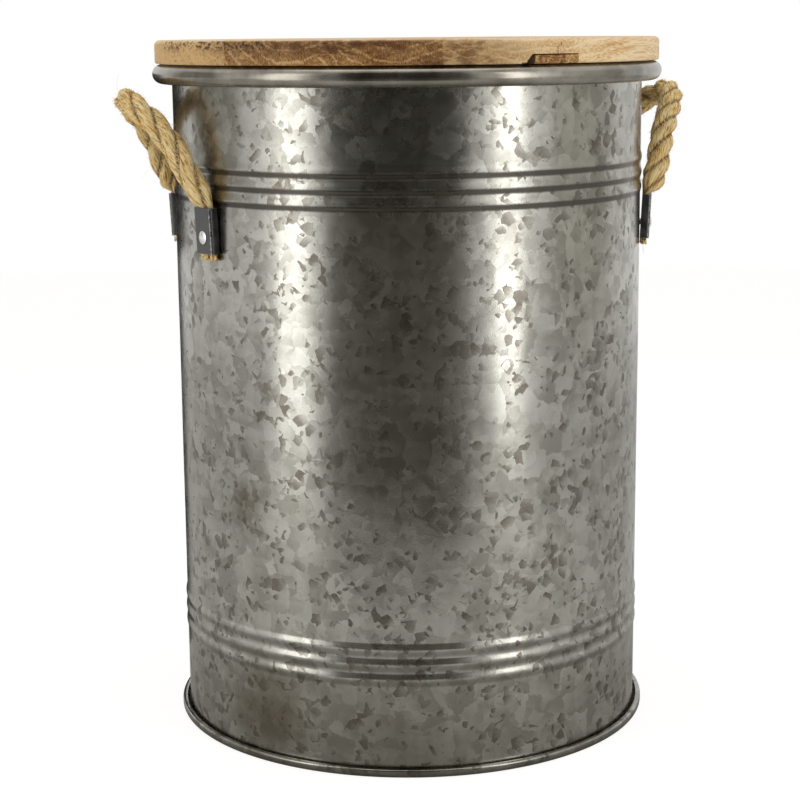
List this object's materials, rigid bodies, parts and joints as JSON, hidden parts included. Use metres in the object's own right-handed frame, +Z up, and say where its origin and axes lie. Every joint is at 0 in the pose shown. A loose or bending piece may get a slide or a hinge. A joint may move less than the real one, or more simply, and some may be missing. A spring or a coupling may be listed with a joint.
{
  "type": "lidded pellet bucket",
  "caption": "Round galvanised fuel bucket with swaged rings, rolled rim, hemmed base, riveted rope loop handles and a lift-off plank lid with let-in battens.",
  "frame": {"origin": "on the floor, under the middle of the bucket", "axes": "+Z up; the two rope handles lie on the X axis, at +X (right) and -X (left); -Y is the side between them that the picture shows, turned about 15 degrees"},
  "size_m": [0.3745, 0.3245, 0.4389],
  "materials": {
    "galvanised_sheet": "hot-dip galvanised steel sheet, visible grey spangle, dull",
    "base_sheet": "hot-dip galvanised steel sheet, folded and seamed, dull",
    "rim_sheet": "galvanised steel sheet rolled to a tube, darker and smoother than the wall",
    "clamp_paint": "thin black paint over pressed steel, satin",
    "rivet_metal": "bright aluminium, domed head, as pressed",
    "zinc_hardware": "zinc-plated steel, dull",
    "rope": "three-strand laid jute, straw yellow, hairy",
    "plank_wood": "knotty softwood, scorched and waxed, matt",
    "batten_wood": "reddish hardwood, end grain sealed, matt",
    "wedge_wood": "yellow softwood strip, matt"
  },
  "bodies": {
    "bucket": {"body_shell": "galvanised_sheet", "base_pan": "base_sheet", "top_rim": "rim_sheet", "clamp_left_front": "clamp_paint", "clamp_left_back": "clamp_paint", "clamp_right_front": "clamp_paint", "clamp_right_back": "clamp_paint", "rivet_left_front": "rivet_metal", "rivet_left_back": "rivet_metal", "rivet_right_front": "rivet_metal", "rivet_right_back": "rivet_metal", "washer_left_front": "zinc_hardware", "washer_left_back": "zinc_hardware", "washer_right_front": "zinc_hardware", "washer_right_back": "zinc_hardware", "rope_ends_left": "rope", "rope_ends_right": "rope"},
    "handle_left": {"rope_handle_left": "rope"},
    "handle_right": {"rope_handle_right": "rope"},
    "lid": {"lid_plank_1": "plank_wood", "lid_plank_2": "plank_wood", "lid_plank_3": "plank_wood", "lid_plank_4": "plank_wood", "lid_plank_5": "plank_wood", "lid_batten_front": "batten_wood", "lid_batten_back": "batten_wood", "batten_wedge_front": "wedge_wood", "batten_wedge_back": "wedge_wood", "batten_screws_front": "zinc_hardware", "batten_screws_back": "zinc_hardware"}
  },
  "joints": [
    {"name": "lid_lift", "type": "slide", "parent": "bucket", "child": "lid", "axis": [0, 0, 1], "range_m": [0, 0.15]},
    {"name": "handle_left_swing", "type": "hinge", "parent": "bucket", "child": "handle_left", "pos_m": [-0.14667, 0, 0.348], "axis": [0, -1, 0], "range_deg": [-11.5, 58.5]},
    {"name": "handle_right_swing", "type": "hinge", "parent": "bucket", "child": "handle_right", "pos_m": [0.14667, 0, 0.348], "axis": [0, 1, 0], "range_deg": [-11, 59]}
  ]
}
